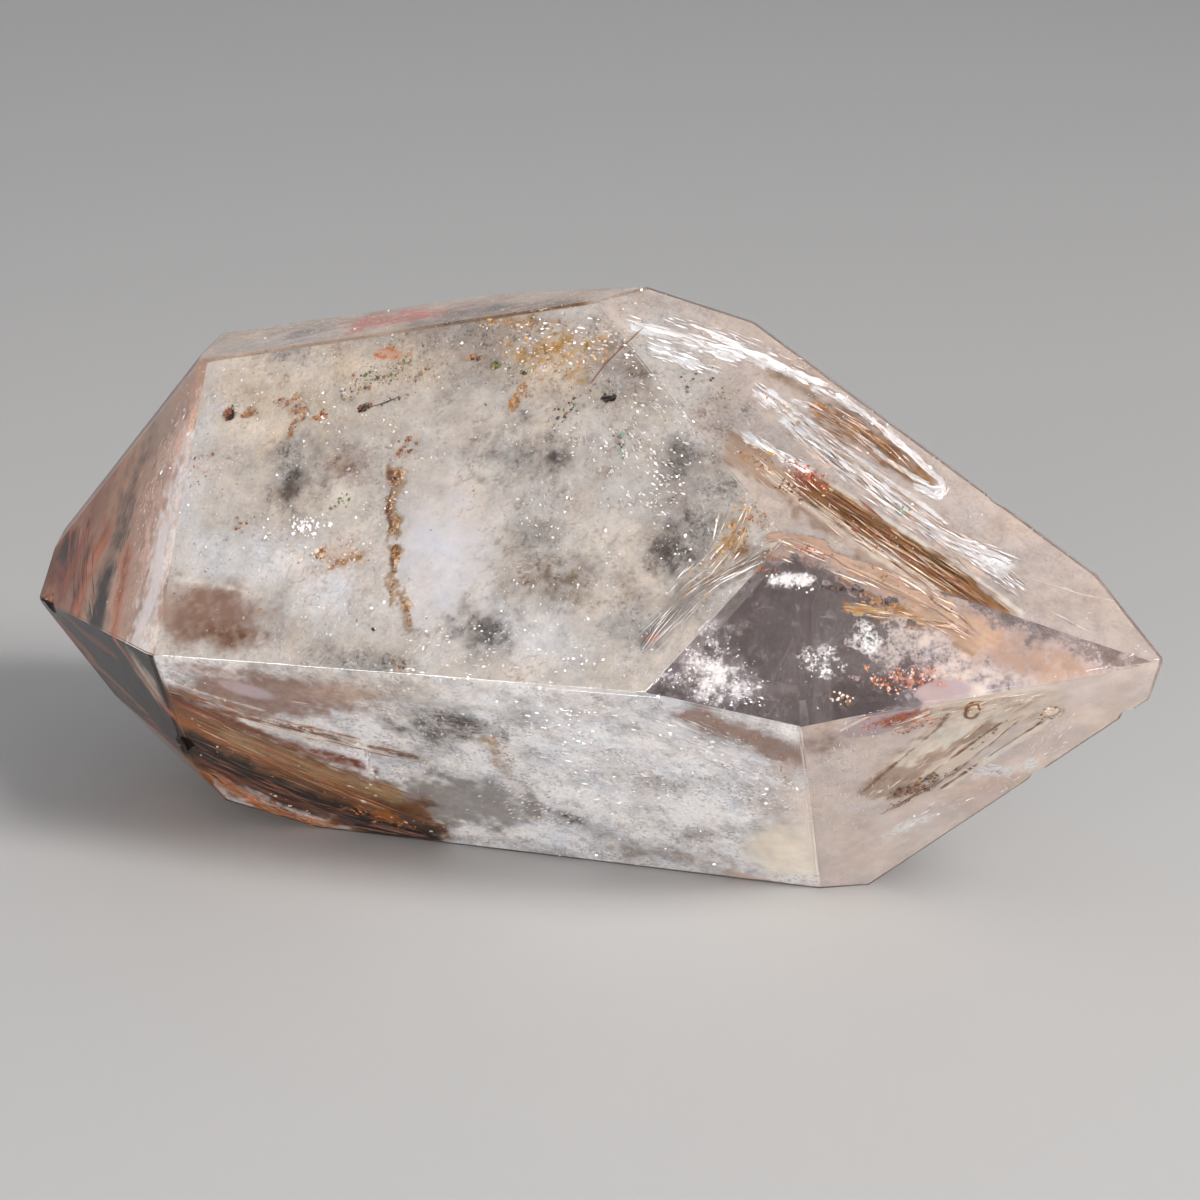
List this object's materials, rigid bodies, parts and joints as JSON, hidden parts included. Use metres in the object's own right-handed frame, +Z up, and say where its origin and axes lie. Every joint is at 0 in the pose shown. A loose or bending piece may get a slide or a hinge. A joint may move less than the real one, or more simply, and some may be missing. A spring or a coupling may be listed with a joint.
{
  "type": "smoky amethyst crystal",
  "caption": "Polished smoky amethyst crystal with a point at each end, cloudy inside with clear windows, lying on a long flat face.",
  "frame": {"origin": "centre of the bounding box at the level of the face that the crystal rests on", "axes": "+X along the crystal from its smoky point to its clear point, +Z up, -Y towards the viewer of the large cloudy face"},
  "size_m": [0.0892, 0.0464, 0.0416],
  "materials": {
    "smoky_amethyst": "polished clear quartz, pale lilac-pink with a smoky brown end, holding milky clouds and iron stains"
  },
  "bodies": {
    "root": {"crystal": "smoky_amethyst"}
  },
  "joints": []
}
